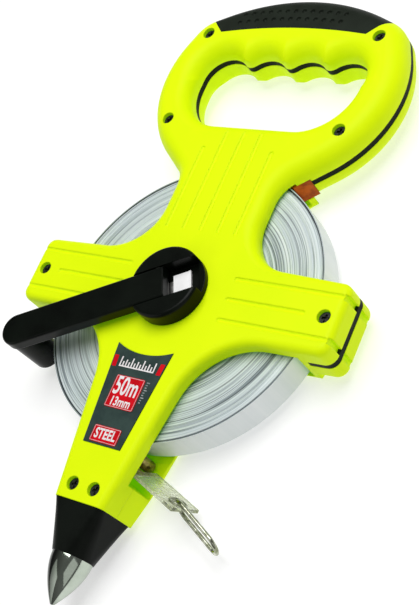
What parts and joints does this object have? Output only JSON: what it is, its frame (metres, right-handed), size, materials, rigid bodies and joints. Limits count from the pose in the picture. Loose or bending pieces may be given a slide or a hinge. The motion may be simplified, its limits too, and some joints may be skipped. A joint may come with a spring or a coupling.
{
  "type": "surveyor tape reel",
  "caption": "Open-frame steel tape reel with a loop handle, folded side crank, round wound coil, label, pointed ground spike and a ring on the tape's free end.",
  "frame": {"origin": "on the spindle axis, in the plane of the rear rest face", "axes": "+Z out of the front face along the spindle, +Y towards the hand grip, the ground spike along -Y"},
  "size_m": [0.154, 0.2742, 0.0332],
  "materials": {
    "yellow_shell": "fine satin ABS",
    "grip_rubber": "dimpled rubber",
    "seam_black": "matte",
    "guard_orange": "satin",
    "collar_black": "satin",
    "spike_steel": "polished",
    "zinc_steel": "zinc plated",
    "drum_black": "matte",
    "coil_tape": "wound edge of a lacquered steel blade",
    "lead_tape": "lacquered blade",
    "clear_sleeve": "clear soft plastic",
    "ring_steel": "bright wire",
    "roller_brass": "turned",
    "bush_black": "acetal",
    "crank_black": "glossy",
    "bright_steel": "bright spring steel",
    "knob_black": "glossy",
    "screw_black": "black oxide",
    "label_slate": "printed",
    "label_red": "printed"
  },
  "bodies": {
    "frame": {"front_shell": "yellow_shell", "rear_shell": "yellow_shell", "grip_pad": "grip_rubber", "handle_seam": "seam_black", "hand_seam": "seam_black", "arm_seam_right": "seam_black", "arm_seam_left": "seam_black", "coil_guard": "guard_orange", "nose_collar": "collar_black", "ground_spike": "spike_steel", "spike_nut": "zinc_steel", "tape_lead": "lead_tape", "tape_end_sleeve": "clear_sleeve", "roller_pin": "zinc_steel", "rear_bush": "bush_black", "front_bush": "bush_black", "shell_screws": "screw_black", "label_plate": "label_slate", "label_panel_size": "label_red", "label_panel_material": "label_red"},
    "reel": {"drum": "drum_black", "tape_coil": "coil_tape"},
    "hub": {"crank_hub": "crank_black", "spindle": "zinc_steel", "spindle_clip": "zinc_steel", "hinge_pin": "zinc_steel", "detent_spring": "bright_steel"},
    "crank": {"crank_arm": "crank_black", "knob_pin": "zinc_steel"},
    "knob": {"knob": "knob_black"},
    "roller": {"guide_roller": "roller_brass"},
    "ring": {"end_ring": "ring_steel"}
  },
  "joints": [
    {"name": "reel_spin", "type": "hinge", "parent": "frame", "child": "reel", "pos_m": [0, 0, 0.0108], "axis": [0, 0, 1], "continuous": true},
    {"name": "hub_turn", "type": "hinge", "parent": "frame", "child": "hub", "pos_m": [0, 0, 0.026], "axis": [0, 0, 1], "range_deg": [-8, 41]},
    {"name": "crank_fold", "type": "hinge", "parent": "hub", "child": "crank", "pos_m": [-0.00266, -0.00138, 0.0307], "axis": [-0.4617, 0.887, 0], "range_deg": [0, 180]},
    {"name": "knob_spin", "type": "hinge", "parent": "crank", "child": "knob", "pos_m": [-0.06209, -0.03232, 0.018], "axis": [0, 0, 1], "continuous": true},
    {"name": "roller_spin", "type": "hinge", "parent": "frame", "child": "roller", "pos_m": [0.00899, -0.06597, 0.0108], "axis": [0, 0, 1], "continuous": true},
    {"name": "ring_swing", "type": "hinge", "parent": "frame", "child": "ring", "pos_m": [0.03292, -0.07779, 0.0108], "axis": [-0.1142, -0.3224, 0.9397], "range_deg": [-3, 18]}
  ]
}
